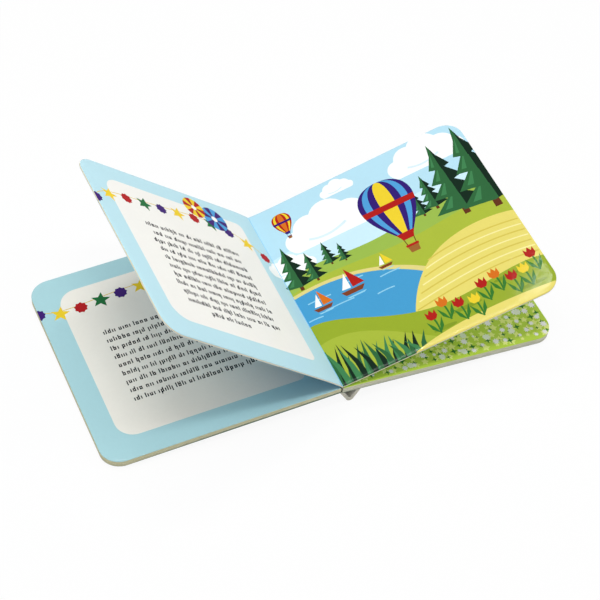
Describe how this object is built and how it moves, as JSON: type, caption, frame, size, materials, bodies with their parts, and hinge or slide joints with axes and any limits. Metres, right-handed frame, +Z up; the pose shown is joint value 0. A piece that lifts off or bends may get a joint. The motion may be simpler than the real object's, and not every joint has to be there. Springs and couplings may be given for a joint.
{
  "type": "board book",
  "caption": "Small square board book lying open: thick rounded leaves stand up from the gutter over the covers, and the spine strip folds down as a V.",
  "frame": {"origin": "on the table, under the middle of the open book", "axes": "+X across the open book from the front cover to the back cover, +Y up the pages along the spine, +Z up"},
  "size_m": [0.3048, 0.152, 0.1142],
  "materials": {
    "page_board": "gloss",
    "cover_board": "gloss",
    "spine_board": "gloss"
  },
  "bodies": {
    "book": {"raised_pages": "page_board", "spine_strip": "spine_board"},
    "front": {"front_cover": "cover_board", "front_pages": "page_board"},
    "back": {"back_cover": "cover_board", "back_pages": "page_board"}
  },
  "joints": [
    {"name": "front_cover_hinge", "type": "hinge", "parent": "book", "child": "front", "pos_m": [-0.00074, 0, 0.01535], "axis": [0, 1, 0], "range_deg": [0, 42]},
    {"name": "back_cover_hinge", "type": "hinge", "parent": "book", "child": "back", "pos_m": [0.00071, 0, 0.01494], "axis": [0, -1, 0], "range_deg": [0, 17]}
  ]
}
